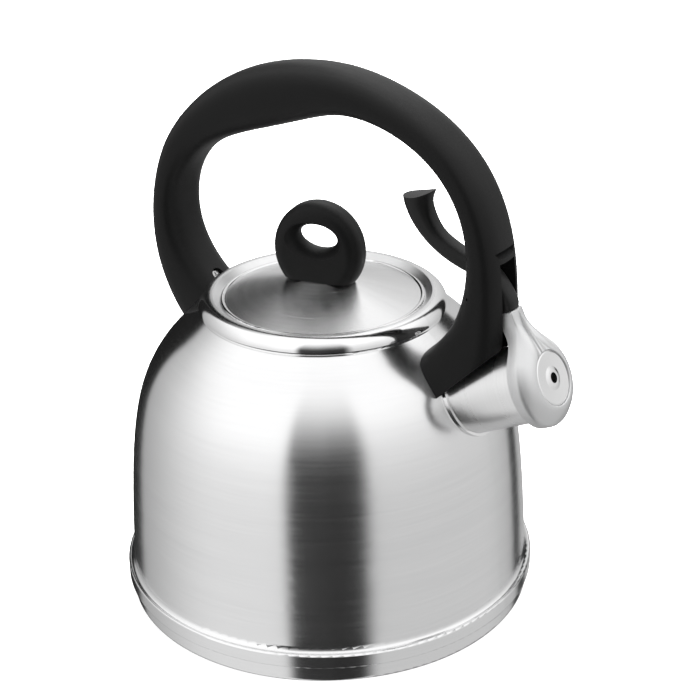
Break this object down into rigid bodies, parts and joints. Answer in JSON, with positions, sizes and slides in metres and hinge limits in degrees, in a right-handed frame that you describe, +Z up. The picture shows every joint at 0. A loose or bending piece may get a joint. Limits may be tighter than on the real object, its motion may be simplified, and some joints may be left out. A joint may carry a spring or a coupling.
{
  "type": "stovetop whistling kettle",
  "caption": "Round stovetop kettle with a lift-off lid, a fixed arched handle and a lever-opened whistling spout cap.",
  "frame": {"origin": "centre of the flat base, on the hob", "axes": "+Z up; +X towards the spout; the handle, spout and lever lie in the XZ plane"},
  "size_m": [0.2272, 0.2, 0.26],
  "materials": {
    "satin_steel": "fine satin brushing round the body, spun on the lid",
    "polished_steel": "bright polished",
    "aluminium_core": "plain",
    "black_nylon": "fine matte grain",
    "dark_grey_nylon": "fine matte grain",
    "silver_paint": "satin silver paint",
    "plain_steel": "plain sheet",
    "screw_steel": "plated",
    "grey_silicone": "matte"
  },
  "bodies": {
    "kettle": {"body_shell": "satin_steel", "bottom_pan": "satin_steel", "heat_spreader_disc": "aluminium_core", "base_capsule": "polished_steel", "spout_tube": "satin_steel", "spout_collar": "polished_steel", "handle": "black_nylon", "front_handle_bracket": "polished_steel", "rear_handle_bracket": "polished_steel", "front_handle_screw": "screw_steel", "rear_handle_screw": "screw_steel", "pivot_pin": "plain_steel", "lever_spring": "screw_steel"},
    "lever": {"lever": "dark_grey_nylon", "whistle_cap": "silver_paint", "cap_screw": "screw_steel", "whistle_front_disc": "polished_steel", "whistle_rear_disc": "plain_steel", "cap_seal": "grey_silicone"},
    "lid": {"lid_pan": "satin_steel", "lid_skirt": "satin_steel", "lid_knob": "black_nylon", "knob_washer": "plain_steel", "knob_screw": "screw_steel"}
  },
  "joints": [
    {"name": "lever_pivot", "type": "hinge", "parent": "kettle", "child": "lever", "pos_m": [0.0856, 0, 0.1702], "axis": [0, -1, 0], "range_deg": [0, 24], "stiffness_Nm_per_rad": 0.15, "springref_deg": -28.65},
    {"name": "lid_lift", "type": "slide", "parent": "kettle", "child": "lid", "axis": [0, 0, 1], "range_m": [0, 0.018]}
  ]
}
